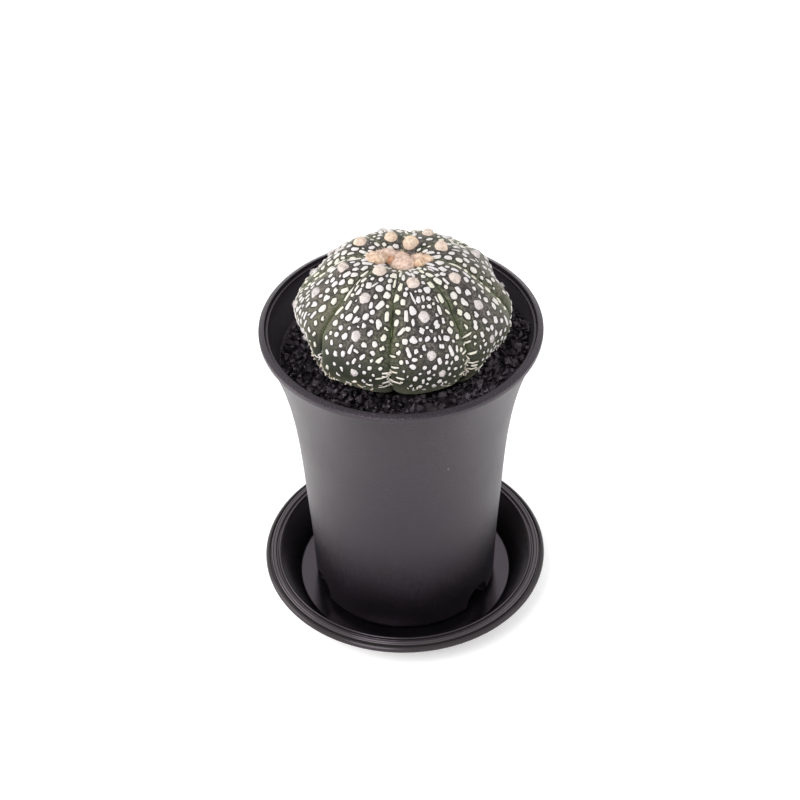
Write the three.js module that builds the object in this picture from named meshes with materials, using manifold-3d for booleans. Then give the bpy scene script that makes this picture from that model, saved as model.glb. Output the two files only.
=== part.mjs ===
// Potted star cactus: a low cactus with eight ribs, in black grit, in a flared plastic pot on a saucer.
// Millimetres, +Z up. The origin is on the table under the middle of the saucer, and the front is -Y.
// An azimuth is measured from the front towards +X. A profile is a list of [radius, height] pairs that
// runs up the outside and down the inside.

import * as THREE from 'three';
import { mergeVertices } from 'three/addons/utils/BufferGeometryUtils.js';
import Module from 'manifold-3d';

const wasm = await Module();
wasm.setup();

// Saucer
const SAUCER_RADIUS = 48.35;
const SAUCER_TOP = 13.3;
const SAUCER_FLOOR = 2.4;
const SAUCER_FLOOR_RADIUS = 36.2;
const SAUCER_MOUTH_RADIUS = 42.9;
const SAUCER_THICKNESS = 1.4;
const SAUCER_FOOT_OUTER = 35.5;
const SAUCER_FOOT_INNER = 31.5;
const SAUCER_FOOT_HEIGHT = 0.9;

// Pot: its wall is a straight taper plus a flare that grows with a power of the height
const LIP_RADIUS = 45;
const POT_TOP = 112.4;
const LIP_UNDERSIDE = 109.7;
const LIP_WIDTH = 3.1;
const POT_WALL = 1.6;
const POT_FOOT_RADIUS = 30.66;
const POT_TAPER = 0.038;
const POT_FLARE = 9.1;
const POT_FLARE_POWER = 4.8;
const POT_CORNER_RADIUS = 4;
const POT_FOOT_WIDTH = 2.6;
const POT_BOTTOM_LIFT = 2;
const DRAIN_HOLE_RADIUS = 5;
const NOTCH_COUNT = 3;
const NOTCH_AZIMUTH = 53;
const NOTCH_WIDTH = 11.2;
const NOTCH_TOP = 11.8;
const NOTCH_ARCH = 5.5;
const NOTCH_DEPTH = 6.5;

// Grit
const SOIL_LEVEL = 102.5;
const GRANULE_SIZE = 3.1;
const GRANULE_STRETCH = 1.4;
const GRANULE_PEAK = 0.9;
const GRANULE_SEAM = 0.7;
const SEAM_WANDER = 0.24;
const SOIL_INNER_RADIUS = 24;

// Cactus: heights are above the middle of its body, which leans back a little
const PLANT_CENTRE = [0.7, -1.5, 117.3];
const PLANT_LEAN = 4.5;
const RIB_COUNT = 8;
const FIRST_RIB_AZIMUTH = 14.6;
const FURROW_DEPTH = 2.3;
const FURROW_FADE = 1.5;
const RIB_FULLNESS = 3.2;
const BODY_PROFILE = [
  [0, 18.9], [4.5, 19.6], [9.8, 21.1], [14.8, 20.7], [19.6, 19.1], [27.4, 12.9], [32.3, 7.4], [33.8, 2],
  [33, -4], [29.3, -9.2], [23.4, -14.2], [17, -17.3], [10.5, -19.2], [0, -19.6],
];
const BURIED_BELOW = -8;
const ROOT_PROFILE = [[0, -45], [3, -45], [4.5, -38], [8, -26], [10, -18], [0, -18]];
const FIRST_AREOLES = [15.7, 19.9, 13.7, 8.2, 11.5, 15.6, 18, 9.6];
const AREOLE_PITCH = 11.8;
const LAST_AREOLE = 50;
const AREOLE_SIZE = [3.9, 3.9, 2.4];
const AREOLE_CLEARING = 3.4;
const AREOLE_SUNK = 0.15;
const FLECK_PITCH = 4.8;
const FLECK_START = 6.4;
const FLECK_ROWS = 11;
const FLECK_WIDTH = 2.1;
const FLECK_LENGTH = 2.7;
const FLECK_HEIGHT = 0.4;
const FLECK_ROOM = 0.3;
const SPARSE_SHARE = 0.2;

// Wool on the growing point: centre and size of each tuft, seen from above, in the body's own frame
const WOOL_TUFTS = [
  { at: [0.4, -0.4], size: [9.6, 9.6, 6.4] },
  { at: [-2.6, 3.4], size: [6.8, 5.6, 5] },
  { at: [-4.6, 0.9], size: [6, 5.4, 4.4] },
  { at: [-7.9, 1.7], size: [6.6, 5.2, 3.8] },
  { at: [4.4, 0.7], size: [6, 5.4, 4.6] },
  { at: [7.7, 0.9], size: [6, 5.2, 3.9] },
];

// Gap between curved pieces that touch
const CLEARANCE = 0.35;
const ROUND_SEGMENTS = 48;
const WELD_DISTANCE = 1e-4;

// Seeded random numbers, the same on every run
function randomSource(seed) {
  let state = seed;
  return () => {
    state = (state + 0x6d2b79f5) | 0;
    let t = Math.imul(state ^ (state >>> 15), 1 | state);
    t = (t + Math.imul(t ^ (t >>> 7), 61 | t)) ^ t;
    return ((t ^ (t >>> 14)) >>> 0) / 4294967296;
  };
}

function spread(random, amount) {
  return (random() * 2 - 1) * amount;
}

// Position only, shared corners merged and empty triangles dropped
function closed(geometry) {
  geometry.deleteAttribute('normal');
  geometry.deleteAttribute('uv');
  const merged = mergeVertices(geometry, WELD_DISTANCE);
  const corners = merged.index.array;
  const kept = [];
  for (let i = 0; i < corners.length; i += 3) {
    const [a, b, c] = corners.slice(i, i + 3);
    if (a !== b && b !== c && c !== a) kept.push(a, b, c);
  }
  merged.setIndex(kept);
  return merged;
}

function solid(geometry) {
  return new wasm.Manifold(new wasm.Mesh({
    numProp: 3,
    vertProperties: new Float32Array(geometry.attributes.position.array),
    triVerts: new Uint32Array(geometry.index.array),
  }));
}

function geometryOf(manifold) {
  const mesh = manifold.getMesh();
  const geometry = new THREE.BufferGeometry();
  geometry.setAttribute('position', new THREE.BufferAttribute(new Float32Array(mesh.vertProperties), 3));
  geometry.setIndex(Array.from(mesh.triVerts));
  return geometry;
}

function joined(base, pieces) {
  return pieces.reduce((whole, piece) => whole.add(solid(piece)), base);
}

function turned(profile, segments = ROUND_SEGMENTS) {
  const points = profile.map(([radius, height]) => new THREE.Vector2(radius, height));
  return closed(new THREE.LatheGeometry(points, segments).rotateX(Math.PI / 2));
}

// Points on an arc in a profile, from one angle to another in degrees
function arc(radius, height, size, from, to, steps) {
  return Array.from({ length: steps + 1 }, (_, i) => {
    const angle = THREE.MathUtils.degToRad(from + ((to - from) * i) / steps);
    return [radius + size * Math.cos(angle), height + size * Math.sin(angle)];
  });
}

function around(azimuth, radius, height) {
  const angle = THREE.MathUtils.degToRad(azimuth);
  return new THREE.Vector3(radius * Math.sin(angle), -radius * Math.cos(angle), height);
}

// A closed surface made of rings of points, joined in bands from one pole to the other
class RingSurface {
  constructor() {
    this.positions = [];
    this.corners = [];
  }

  point(place) {
    this.positions.push(place.x, place.y, place.z);
    return this.positions.length / 3 - 1;
  }

  ring(count, placeOf) {
    return Array.from({ length: count }, (_, column) => this.point(placeOf(column)));
  }

  band(ring, next) {
    this.cells(ring, next).forEach((cell) => this.flat(cell));
  }

  // The four corners of each cell of a band, counted round it
  cells(ring, next) {
    return ring.map((corner, column) => {
      const beside = (column + 1) % ring.length;
      return [corner, ring[beside], next[beside], next[column]];
    });
  }

  flat(cell) {
    this.corners.push(cell[0], cell[1], cell[2], cell[0], cell[2], cell[3]);
  }

  peak(cell, place) {
    const top = this.point(place);
    cell.forEach((from, side) => this.corners.push(from, cell[(side + 1) % cell.length], top));
  }

  // A small pyramid that stands inside the cell
  knob(cell, feet, place) {
    const base = feet.map((foot) => this.point(foot));
    cell.forEach((from, side) => {
      const next = (side + 1) % cell.length;
      this.corners.push(from, cell[next], base[next], from, base[next], base[side]);
    });
    this.peak(base, place);
  }

  cap(ring, pole, atStart) {
    ring.forEach((corner, column) => {
      const beside = ring[(column + 1) % ring.length];
      this.corners.push(...(atStart ? [pole, beside, corner] : [pole, corner, beside]));
    });
  }

  placeOf(index) {
    return new THREE.Vector3().fromArray(this.positions, index * 3);
  }

  geometry() {
    const geometry = new THREE.BufferGeometry();
    geometry.setAttribute('position', new THREE.Float32BufferAttribute(this.positions, 3));
    geometry.setIndex(this.corners);
    return geometry;
  }
}

// Saucer: a flat floor, a sloping wall and a stepped rim with two fine ridges along its inner edge
function saucerGeometry() {
  const wallOut = SAUCER_FLOOR_RADIUS + SAUCER_THICKNESS;
  return turned([
    [0, SAUCER_FOOT_HEIGHT],
    [SAUCER_FOOT_INNER, SAUCER_FOOT_HEIGHT],
    [SAUCER_FOOT_INNER + 0.4, 0],
    [SAUCER_FOOT_OUTER, 0],
    [wallOut, 1.6],
    [SAUCER_MOUTH_RADIUS + SAUCER_THICKNESS, SAUCER_TOP - 2.4],
    [SAUCER_RADIUS - 0.6, SAUCER_TOP - 2.6],
    [SAUCER_RADIUS, SAUCER_TOP - 2],
    [SAUCER_RADIUS - 0.2, SAUCER_TOP - 1.5],
    [SAUCER_RADIUS - 2.1, SAUCER_TOP - 1],
    [SAUCER_RADIUS - 2.5, SAUCER_TOP - 1.2],
    [SAUCER_RADIUS - 3, SAUCER_TOP - 0.4],
    [SAUCER_RADIUS - 3.9, SAUCER_TOP - 0.2],
    [SAUCER_RADIUS - 4.3, SAUCER_TOP - 0.5],
    [SAUCER_RADIUS - 4.7, SAUCER_TOP],
    [SAUCER_RADIUS - 5.2, SAUCER_TOP],
    [SAUCER_MOUTH_RADIUS, SAUCER_TOP - 0.5],
    [SAUCER_FLOOR_RADIUS + 0.6, SAUCER_FLOOR + 0.5],
    [SAUCER_FLOOR_RADIUS, SAUCER_FLOOR],
    [0, SAUCER_FLOOR],
  ]);
}

function potRadius(height) {
  return POT_FOOT_RADIUS + POT_TAPER * height + POT_FLARE * (height / LIP_UNDERSIDE) ** POT_FLARE_POWER;
}

const POT_FLOOR = SAUCER_FLOOR + POT_BOTTOM_LIFT + POT_WALL;
const WALL_HEIGHTS = [20, 44, 64, 80, 92, 102];

// Pot: rounded foot, trumpet wall, and a lip with a broad outer ridge, a groove and an inner ridge
function potGeometry() {
  const cornerHeight = SAUCER_FLOOR + POT_CORNER_RADIUS;
  const cornerRadius = potRadius(cornerHeight) - POT_CORNER_RADIUS;
  const bottomLift = SAUCER_FLOOR + POT_BOTTOM_LIFT;
  const outside = WALL_HEIGHTS.map((height) => [potRadius(height), height]);
  const inside = WALL_HEIGHTS.map((height) => [potRadius(height) - POT_WALL, height]).reverse();
  const lipInside = LIP_RADIUS - LIP_WIDTH;
  const shell = solid(turned([
    [0, bottomLift],
    [cornerRadius - POT_FOOT_WIDTH, bottomLift],
    [cornerRadius - POT_FOOT_WIDTH + 0.6, SAUCER_FLOOR],
    ...arc(cornerRadius, cornerHeight, POT_CORNER_RADIUS, -90, 0, 4),
    ...outside,
    [potRadius(LIP_UNDERSIDE), LIP_UNDERSIDE],
    [LIP_RADIUS - 0.5, POT_TOP - 2.4],
    [LIP_RADIUS, POT_TOP - 1.6],
    [LIP_RADIUS - 0.3, POT_TOP - 0.6],
    [LIP_RADIUS - 1, POT_TOP],
    [LIP_RADIUS - 1.7, POT_TOP - 0.5],
    [LIP_RADIUS - 2.2, POT_TOP],
    [lipInside, POT_TOP - 0.6],
    ...inside,
    [potRadius(POT_FLOOR) - POT_WALL - 0.5, POT_FLOOR + 1],
    [potRadius(POT_FLOOR) - POT_WALL - 1.5, POT_FLOOR],
    [0, POT_FLOOR],
  ]));
  let pot = shell.subtract(solid(drainCutter()));
  for (let i = 0; i < NOTCH_COUNT; i += 1) {
    pot = pot.subtract(solid(notchCutter(NOTCH_AZIMUTH + (360 / NOTCH_COUNT) * i)));
  }
  return geometryOf(pot);
}

// A low arch that goes in through the foot of the wall and takes the edge of the bottom with it
function notchCutter(azimuth) {
  const inner = POT_FOOT_RADIUS - NOTCH_DEPTH;
  const outline = new THREE.Shape();
  outline.moveTo(-NOTCH_WIDTH / 2, 0);
  outline.lineTo(NOTCH_WIDTH / 2, 0);
  outline.lineTo(NOTCH_WIDTH / 2, NOTCH_TOP - NOTCH_ARCH);
  outline.absellipse(0, NOTCH_TOP - NOTCH_ARCH, NOTCH_WIDTH / 2, NOTCH_ARCH, 0, Math.PI, false);
  const depth = 2 * NOTCH_DEPTH;
  const cutter = new THREE.ExtrudeGeometry(outline, { depth, bevelEnabled: false, curveSegments: 8 });
  cutter.rotateX(Math.PI / 2);
  cutter.translate(0, -inner, 0);
  cutter.rotateZ(THREE.MathUtils.degToRad(azimuth));
  return closed(cutter);
}

function drainCutter() {
  const above = POT_FLOOR + POT_WALL;
  return turned([[0, 0], [DRAIN_HOLE_RADIUS, 0], [DRAIN_HOLE_RADIUS, above], [0, above]], 16);
}

// Grit: it fills the pot, its top is covered with angular granules, and the cactus stands in a plain hole
function soilGeometry(plantMatrix) {
  const random = randomSource(11);
  const columns = Math.round((2 * Math.PI * potRadius(SOIL_LEVEL)) / GRANULE_SIZE / GRANULE_STRETCH);
  const surface = new RingSurface();
  const flatRing = (radius, height) => surface.ring(
    columns,
    (column) => around((360 * column) / columns, radius, height),
  );
  const wallGap = POT_WALL + CLEARANCE + 0.05;
  const side = [
    [potRadius(POT_FLOOR) - wallGap - 1.8, POT_FLOOR],
    [potRadius(POT_FLOOR) - wallGap - 0.3, POT_FLOOR + 1.6],
    ...WALL_HEIGHTS.filter((height) => height < SOIL_LEVEL - 5)
      .map((height) => [potRadius(height) - wallGap, height]),
    [potRadius(SOIL_LEVEL) - wallGap - 0.3, SOIL_LEVEL - GRANULE_SEAM],
  ];
  const rings = side.map(([radius, height]) => flatRing(radius, height));
  surface.cap(rings[0], surface.point(new THREE.Vector3(0, 0, POT_FLOOR)), true);
  rings.slice(1).forEach((ring, i) => surface.band(rings[i], ring));

  let outer = rings.at(-1);
  let radius = side.at(-1)[0];
  while (radius > SOIL_INNER_RADIUS) {
    radius -= GRANULE_SIZE;
    const step = 360 / columns;
    const seam = surface.ring(columns, (column) => around(
      step * (column + spread(random, GRANULE_STRETCH * SEAM_WANDER)),
      radius + spread(random, GRANULE_SIZE * SEAM_WANDER),
      SOIL_LEVEL - GRANULE_SEAM * (1 + spread(random, SEAM_WANDER)),
    ));
    surface.cells(outer, seam).forEach((cell) => {
      const middle = cell.reduce((sum, corner) => sum.add(surface.placeOf(corner)), new THREE.Vector3());
      surface.peak(cell, middle.divideScalar(4).add(new THREE.Vector3(
        spread(random, GRANULE_SIZE / 6),
        spread(random, GRANULE_SIZE / 6),
        GRANULE_SEAM + GRANULE_PEAK * random(),
      )));
    });
    outer = seam;
  }
  surface.cap(outer, surface.point(new THREE.Vector3(0, 0, SOIL_LEVEL - GRANULE_SEAM)), false);
  return geometryOf(solid(surface.geometry()).subtract(solid(plantHole(plantMatrix))));
}

// The buried part of the cactus with a clearance all round
function plantHole(plantMatrix) {
  const widened = (profile, gap) => profile.map(
    ([radius, height]) => [radius === 0 ? 0 : radius + gap, height - CLEARANCE],
  );
  const underside = BODY_PROFILE.filter(([, height]) => height < BURIED_BELOW);
  const buried = widened(underside, 1.3 * CLEARANCE).reverse();
  const above = BURIED_BELOW + 2;
  const base = turned([...buried, [buried.at(-1)[0], above], [0, above]]).applyMatrix4(plantMatrix);
  const root = turned(widened(ROOT_PROFILE, CLEARANCE), 24).applyMatrix4(plantMatrix);
  return geometryOf(joined(solid(base), [root]));
}

// Skin of the cactus: a place on it is a distance down from the middle of the crown and an azimuth
const meridian = new THREE.SplineCurve(
  BODY_PROFILE.map(([radius, height]) => new THREE.Vector2(radius, height)),
);
const MERIDIAN_LENGTH = meridian.getLength();
const WIDEST = Math.max(...BODY_PROFILE.map(([radius]) => radius));

function skinPoint(distance, azimuth) {
  const along = THREE.MathUtils.clamp(distance / MERIDIAN_LENGTH, 0, 1);
  const place = meridian.getPointAt(along);
  const tangent = meridian.getTangentAt(along);
  const pitch = 360 / RIB_COUNT;
  const halfRib = pitch / 2;
  const offRidge = THREE.MathUtils.euclideanModulo(azimuth - FIRST_RIB_AZIMUTH + halfRib, pitch) - halfRib;
  const sink = furrowDepth(place.x) * Math.abs(offRidge / halfRib) ** RIB_FULLNESS;
  return around(azimuth, Math.max(place.x + tangent.y * sink, 0), place.y - tangent.x * sink);
}

// Furrows are deepest round the widest part and fade out at the crown and underneath
function furrowDepth(radius) {
  return FURROW_DEPTH * (Math.max(radius, 0) / WIDEST) ** FURROW_FADE;
}

// Turns and moves a small solid so that its Z is the skin's outward normal and its Y points to the crown
function seatedOnSkin(geometry, distance, azimuth, sunk) {
  const reach = 0.4;
  const place = skinPoint(distance, azimuth);
  const down = skinPoint(distance + reach, azimuth).sub(skinPoint(distance - reach, azimuth)).normalize();
  const turn = THREE.MathUtils.radToDeg(reach / Math.max(Math.hypot(place.x, place.y), 1));
  const beside = skinPoint(distance, azimuth + turn).sub(skinPoint(distance, azimuth - turn)).normalize();
  const normal = new THREE.Vector3().crossVectors(down, beside).normalize();
  const up = down.clone().negate();
  const across = new THREE.Vector3().crossVectors(up, normal);
  const basis = new THREE.Matrix4().makeBasis(across, up, normal);
  return geometry.applyMatrix4(basis.setPosition(place.addScaledVector(normal, -sunk)));
}

function dome([width, length, height], sides, rows) {
  return closed(new THREE.SphereGeometry(0.5, sides, rows).rotateX(Math.PI / 2).scale(width, length, height));
}

// Felt pads down the middle of each rib
function areolePlaces() {
  return FIRST_AREOLES.flatMap((first, rib) => {
    const azimuth = FIRST_RIB_AZIMUTH + (360 / RIB_COUNT) * rib;
    const count = Math.floor((LAST_AREOLE - first) / AREOLE_PITCH) + 1;
    return Array.from({ length: count }, (_, i) => ({ distance: first + AREOLE_PITCH * i, azimuth }));
  });
}

// The ribbed skin is a net of cells. White felt flecks stand in the cells, clear of the areoles and the
// furrows: long and thin round the crown, where the cells are narrow, and broader lower down.
function bodyGeometry(areoles) {
  const random = randomSource(5);
  const surface = new RingSurface();
  const lines = [-1, -0.86, -0.55, -0.18, 0.18, 0.55, 0.86];
  const azimuths = Array.from({ length: RIB_COUNT }, (_, rib) => lines.map(
    (line) => FIRST_RIB_AZIMUTH + (rib + line / 2) * (360 / RIB_COUNT),
  )).flat();
  const lastFleck = FLECK_START + FLECK_PITCH * FLECK_ROWS;
  const distances = [0.92, 0.84, 0.74].map((share) => MERIDIAN_LENGTH * share);
  for (let row = FLECK_ROWS; row >= 0; row -= 1) distances.push(FLECK_START + FLECK_PITCH * row);
  distances.push(FLECK_START / 2);
  const rings = distances.map((distance) => surface.ring(
    azimuths.length,
    (column) => skinPoint(distance, azimuths[column]),
  ));
  surface.cap(rings[0], surface.point(skinPoint(MERIDIAN_LENGTH, 0)), true);
  rings.slice(1).forEach((ring, row) => {
    surface.cells(rings[row], ring).forEach((cell, column) => {
      const line = column % lines.length;
      const middle = (azimuths[column] + (azimuths[column + 1] ?? azimuths[0] + 360)) / 2;
      const place = { distance: distances[row] - FLECK_PITCH / 2 + spread(random, 0.6), azimuth: middle };
      const besideFurrow = line === 0 || line === lines.length - 1;
      const sparse = (line === 1 || line === lines.length - 2) && random() < SPARSE_SHARE;
      const fleckRow = distances[row] <= lastFleck && distances[row] > FLECK_START;
      if (besideFurrow || sparse || !fleckRow || nearAreole(place, areoles)) surface.flat(cell);
      else addFleck(surface, cell, place, random);
    });
  });
  surface.cap(rings.at(-1), surface.point(skinPoint(0, 0)), false);
  return surface.geometry();
}

function nearAreole(place, areoles) {
  const here = skinPoint(place.distance, place.azimuth);
  return areoles.some(
    ({ distance, azimuth }) => skinPoint(distance, azimuth).distanceTo(here) < AREOLE_CLEARING,
  );
}

function addFleck(surface, cell, place, random) {
  const corners = cell.map((corner) => surface.placeOf(corner));
  const room = (corners[0].distanceTo(corners[1]) + corners[2].distanceTo(corners[3])) * FLECK_ROOM;
  const width = Math.min(FLECK_WIDTH * (1 + spread(random, 0.2)), room);
  const length = FLECK_LENGTH * (1 + spread(random, 0.25));
  const middle = skinPoint(place.distance, place.azimuth);
  const turn = THREE.MathUtils.radToDeg(width / 2 / Math.hypot(middle.x, middle.y));
  const feet = [[1, -1], [1, 1], [-1, 1], [-1, -1]].map(([down, right]) => skinPoint(
    place.distance + (down * length) / 2,
    place.azimuth + right * turn,
  ));
  const normal = feet[1].clone().sub(feet[3]).cross(feet[2].clone().sub(feet[0])).normalize();
  surface.knob(cell, feet, middle.addScaledVector(normal, FLECK_HEIGHT));
}

function cactusSolid() {
  const areoles = areolePlaces();
  const pads = areoles.map(({ distance, azimuth }) => seatedOnSkin(
    dome(AREOLE_SIZE, 7, 4),
    distance,
    azimuth,
    AREOLE_SUNK,
  ));
  return joined(solid(bodyGeometry(areoles)), [turned(ROOT_PROFILE, 16), ...pads]);
}

// Wool: tufts that run together in the hollow of the crown, cut to lie just clear of the skin
function woolGeometry(cactus) {
  const tufts = WOOL_TUFTS.map(({ at: [x, y], size }) => {
    const distance = Math.hypot(x, y);
    return dome(size, 8, 5).translate(x, y, meridian.getPointAt(distance / MERIDIAN_LENGTH).y);
  });
  return geometryOf(joined(solid(tufts[0]), tufts.slice(1)).subtract(cactus.translate([0, 0, CLEARANCE])));
}

function named(name, geometry, color, roughness) {
  const material = new THREE.MeshStandardMaterial({ color, roughness, metalness: 0 });
  const mesh = new THREE.Mesh(geometry, material);
  mesh.name = name;
  return mesh;
}

const plant = new THREE.Group();
plant.position.set(...PLANT_CENTRE);
plant.rotation.x = -THREE.MathUtils.degToRad(PLANT_LEAN);
plant.updateMatrix();

const cactus = cactusSolid();
plant.add(named('cactus', geometryOf(cactus), 0x3c4a38, 0.6));
plant.add(named('crown_wool', woolGeometry(cactus), 0xe6bd9c, 0.95));

const pottedCactus = new THREE.Group();
pottedCactus.add(named('saucer', saucerGeometry(), 0x2e2d33, 0.38));
pottedCactus.add(named('pot', potGeometry(), 0x35343a, 0.45));
pottedCactus.add(named('soil', soilGeometry(plant.matrix), 0x0d0d10, 0.85));
pottedCactus.add(plant);

export default pottedCactus;
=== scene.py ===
"""Potted star cactus: the finished look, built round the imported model.

Lengths are in millimetres, and mesh_object turns them into metres in the frame. An azimuth is in
degrees from the front (-Y) towards +X. A profile is a list of [radius, height] pairs that runs up the
outside and down the inside. A third number rounds that corner.
"""

import math

import bmesh
import bpy
import numpy as np
from mathutils import Matrix, Quaternion, Vector, noise


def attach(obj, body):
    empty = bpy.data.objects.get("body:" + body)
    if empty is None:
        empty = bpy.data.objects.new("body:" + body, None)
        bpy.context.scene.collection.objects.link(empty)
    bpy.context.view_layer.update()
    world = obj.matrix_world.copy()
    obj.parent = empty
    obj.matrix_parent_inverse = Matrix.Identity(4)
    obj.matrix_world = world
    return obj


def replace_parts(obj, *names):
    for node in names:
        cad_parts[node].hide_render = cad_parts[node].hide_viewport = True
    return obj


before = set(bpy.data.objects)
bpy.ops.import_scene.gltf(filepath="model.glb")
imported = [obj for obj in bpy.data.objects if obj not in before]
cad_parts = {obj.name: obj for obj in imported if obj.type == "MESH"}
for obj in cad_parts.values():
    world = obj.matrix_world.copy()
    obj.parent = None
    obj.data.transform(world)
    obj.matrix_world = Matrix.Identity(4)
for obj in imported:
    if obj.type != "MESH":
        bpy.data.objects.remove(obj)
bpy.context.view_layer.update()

MM = 0.001
TURNED_SEGMENTS = 256

# Saucer
SAUCER_RADIUS = 48.35
SAUCER_TOP = 13.3
SAUCER_FLOOR = 2.4
SAUCER_FLOOR_RADIUS = 36.2
SAUCER_MOUTH_RADIUS = 42.9
SAUCER_THICKNESS = 1.4
SAUCER_FOOT_OUTER = 35.5
SAUCER_FOOT_INNER = 31.5
SAUCER_FOOT_HEIGHT = 0.9

# Rims from outside in: way in from the edge, way down from the top, and rounding
SAUCER_RIM = [
    (0.5, 2.6, 0.3), (0, 1.9, 0.35), (0.2, 1.2, 0.3), (0.95, 0.6, 0.3), (1.4, 0.65, 0.12), (1.6, 1.5, 0.1),
    (1.95, 1.5, 0.1), (2.1, 0.3, 0.15), (2.5, 0.15, 0.15), (2.7, 0.45, 0.06), (2.9, 0.15, 0.15),
    (3.5, 0.15, 0.2), (3.75, 0.5, 0.1), (3.9, 1, 0.1), (4.4, 0.9, 0.1), (4.65, 0.1, 0.12), (5, 0, 0.1),
    (5.25, 0.25, 0.15),
]
POT_LIP = [
    (0.1, 2.5, 0.4), (-0.1, 1.9, 0.4), (-0.1, 0.75, 0.3), (1.3, 0.1, 0.25), (1.8, 0, 0.12), (2.0, 1.2, 0.1),
    (2.15, 0.95, 0.1), (2.8, 0.85, 0.15),
]

# Pot: its wall is a straight taper plus a flare that grows with a power of the height
LIP_RADIUS = 45
POT_TOP = 112.4
LIP_UNDERSIDE = 109.7
LIP_WIDTH = 3.1
POT_WALL = 1.6
POT_FOOT_RADIUS = 30.66
POT_TAPER = 0.038
POT_FLARE = 9.1
POT_FLARE_POWER = 4.8
POT_FULLNESS = 0.45
POT_CORNER_RADIUS = 4
POT_FOOT_WIDTH = 2.6
POT_BOTTOM_LIFT = 2
POT_FLOOR = SAUCER_FLOOR + POT_BOTTOM_LIFT + POT_WALL
DRAIN_HOLE_RADIUS = 5
NOTCH_COUNT = 3
NOTCH_AZIMUTH = 53
NOTCH_WIDTH = 11.2
NOTCH_TOP = 11.8
NOTCH_ARCH = 5.5
NOTCH_DEPTH = 6.5

# Grit: it is higher on the right, heaped against the plant there, and has one more mound
SOIL_LEVEL = 102.5
SOIL_GAP = 0.4
SOIL_SWELL = 0.9
SOIL_TILT = 0.06
SOIL_HEAP = 4.6
HEAP_AZIMUTH = 60
HEAP_FROM = 27
HEAP_REACH = 11
MOUND_X, MOUND_Y, MOUND_REACH, MOUND_RISE = 36, 4, 9, 3.4
FILL_BELOW = 2.6
ROOT_HOLE = [(15, -18.8), (10.5, -20.2), (4.5, -38), (3.4, -45.4)]
GRANULE_RING = (22, 42)
GRANULE_SIZES = (1.2, 4.4)
GRANULE_DEPTH = 2.6
GRANULE_TRIES = 30000
GRANULE_CORNERS = 12
GRANULE_SHAPES = 40

# Cactus: distances on its skin run down from the middle of the crown
PLANT_CENTRE = (0.7, -1.5, 117.3)
PLANT_LEAN = 4.5
RIB_COUNT = 8
RIB_PITCH = 360 / RIB_COUNT
FIRST_RIB_AZIMUTH = 14.6
FURROW_DEPTH = 2.2
FURROW_FADE = 1.8
RIB_FULLNESS = 3.2
BODY_PROFILE = [
    (0, 18.9), (4.5, 19.6), (9.8, 21.1), (14.8, 20.7), (19.6, 19.1), (27.4, 12.9), (32.3, 7.4), (33.8, 2),
    (33, -4), (29.3, -9.2), (23.4, -14.2), (17, -17.3), (10.5, -19.2), (0, -19.6),
]
WIDEST = max(radius for radius, _ in BODY_PROFILE)
CREASE_DEPTH = 0.7
CREASE_WIDTH = 0.5
CREASE_START = 7
CREASE_WANDER = 0.4
SKIN_ROW = 0.5
SKIN_COLUMNS = 52
SKIN_SEEN = 56

# How far the body bulges or draws in, at what distance with what reach, and at what azimuth with what reach
SWELLS = [
    (1.5, 44, 5.5, 80, 17), (-2.5, 39, 6.4, 106, 10), (1.8, 31, 6.6, 124, 14), (0.8, 20, 8.6, -130, 16),
    (-1.2, 35, 6.4, -116, 13), (1.3, 40, 7, -96, 12), (-2.4, 49, 6.6, -71, 16), (1.9, 52, 5.5, -51, 13),
    (1.2, 58, 6, 41, 12), (-1.5, 50, 9.6, 60, 12),
]

# Felt pads: per rib, distance, azimuth off the ridge and width of each
AREOLES = [
    [(14.9, -2, 4.1), (26.9, 0, 3.5), (38.6, 0, 3.1), (45.3, 5, 2.4)],
    [(19.3, -2, 4.0), (30.2, -3, 3.5), (41.5, -6, 2.4)],
    [(13.5, 8, 4.7), (25.8, 6, 3.8), (37.6, -6, 2.2)],
    [(8.6, 11, 5.1), (16.8, 0, 4.0), (32.5, -1, 3.4), (42.0, 0, 3.0)],
    [(11.5, 2, 4.3), (25.5, 0, 3.4), (36.2, 1, 3.2), (45.6, 0, 2.8)],
    [(15.6, -4, 4.3), (28.4, -2, 3.4), (39.8, 0, 3.0)],
    [(18.8, -4, 4.1), (30.0, -1, 3.5), (39.0, -10, 2.8), (48.6, 0, 2.5)],
    [(11.0, -9, 4.4), (22.0, -2, 3.7), (33.8, 2, 3.2), (45.5, 4, 2.6)],
]
AREOLE_RISE = 1.2
AREOLE_STRANDS = 130

# Hairs: how far they lift, their length and thickness, the spread of their tints, and how many segments
AREOLE_HAIR = ((0, 0.45), (0.25, 0.5), 0.13, 0.12, 3)
WOOL_HAIR = ((-0.05, 0.3), (0.4, 1.0), 0.16, 0.11, 4)
HAIR_CURL = 1.2

# White felt flecks. The kinds give the ranges of width and length, the spread of the turn and the form, and
# for round ones the length is given over the width
FLECK_START = 6.2
FLECK_END = 53
FLECK_TRIES = 30000
FLECK_RISE = 0.24
CROWN_REACH = 24
LONG_STROKE = ((0.85, 1.2), (3.2, 5.4), 9, "stroke")
BLOCK = ((1.3, 2.1), (2.3, 3.8), 14, "stroke")
BAR = ((2.6, 4.2), (0.75, 1.05), 8, "bar")
NARROW_STROKE = ((0.8, 1.3), (1.8, 3.6), 10, "stroke")
STROKE = ((1.1, 1.5), (2.7, 4.2), 13, "stroke")
CLUSTER = ((1.45, 2.4), (1.2, 1.8), 24, "cluster")
DOT = ((1.45, 2.4), (1.0, 1.45), 26, "dot")
BAR_AZIMUTHS = (-30, 70)
BAR_GAP = 1.5

# Width of the strip that flecks leave bare beside a furrow, and what it gains low on the body
BARE_STRIP = 3.3
BARE_STRIP_LOW = 1.3

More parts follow.
